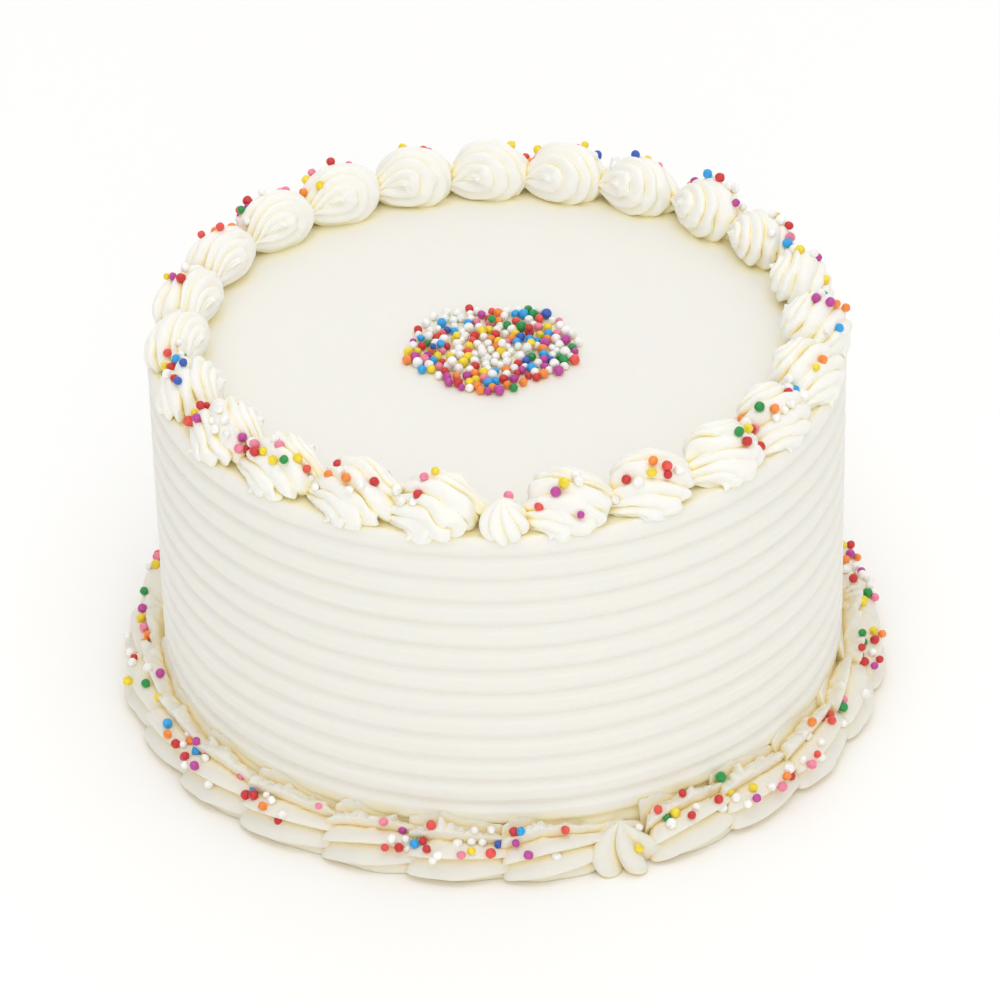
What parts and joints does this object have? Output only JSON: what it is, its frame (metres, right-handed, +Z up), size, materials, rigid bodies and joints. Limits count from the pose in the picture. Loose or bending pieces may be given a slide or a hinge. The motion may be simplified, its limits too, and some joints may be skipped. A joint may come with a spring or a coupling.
{
  "type": "round iced birthday cake",
  "caption": "Round iced birthday cake with combed sides, piped shell borders round the rim and the foot, and sugar pearls.",
  "frame": {"origin": "middle of the flat underside, on the surface that the cake stands on", "axes": "+Z up along the cake's axis; -Y is the front, where the piped rim border is joined; +X is to the right seen from the front"},
  "size_m": [0.2216, 0.2225, 0.1231],
  "materials": {
    "smooth_icing": "satin",
    "piped_icing": "satin",
    "sugar_pearls": "gloss"
  },
  "bodies": {
    "root": {"iced_cake": "smooth_icing", "top_border": "piped_icing", "bottom_border": "piped_icing"}
  },
  "joints": []
}
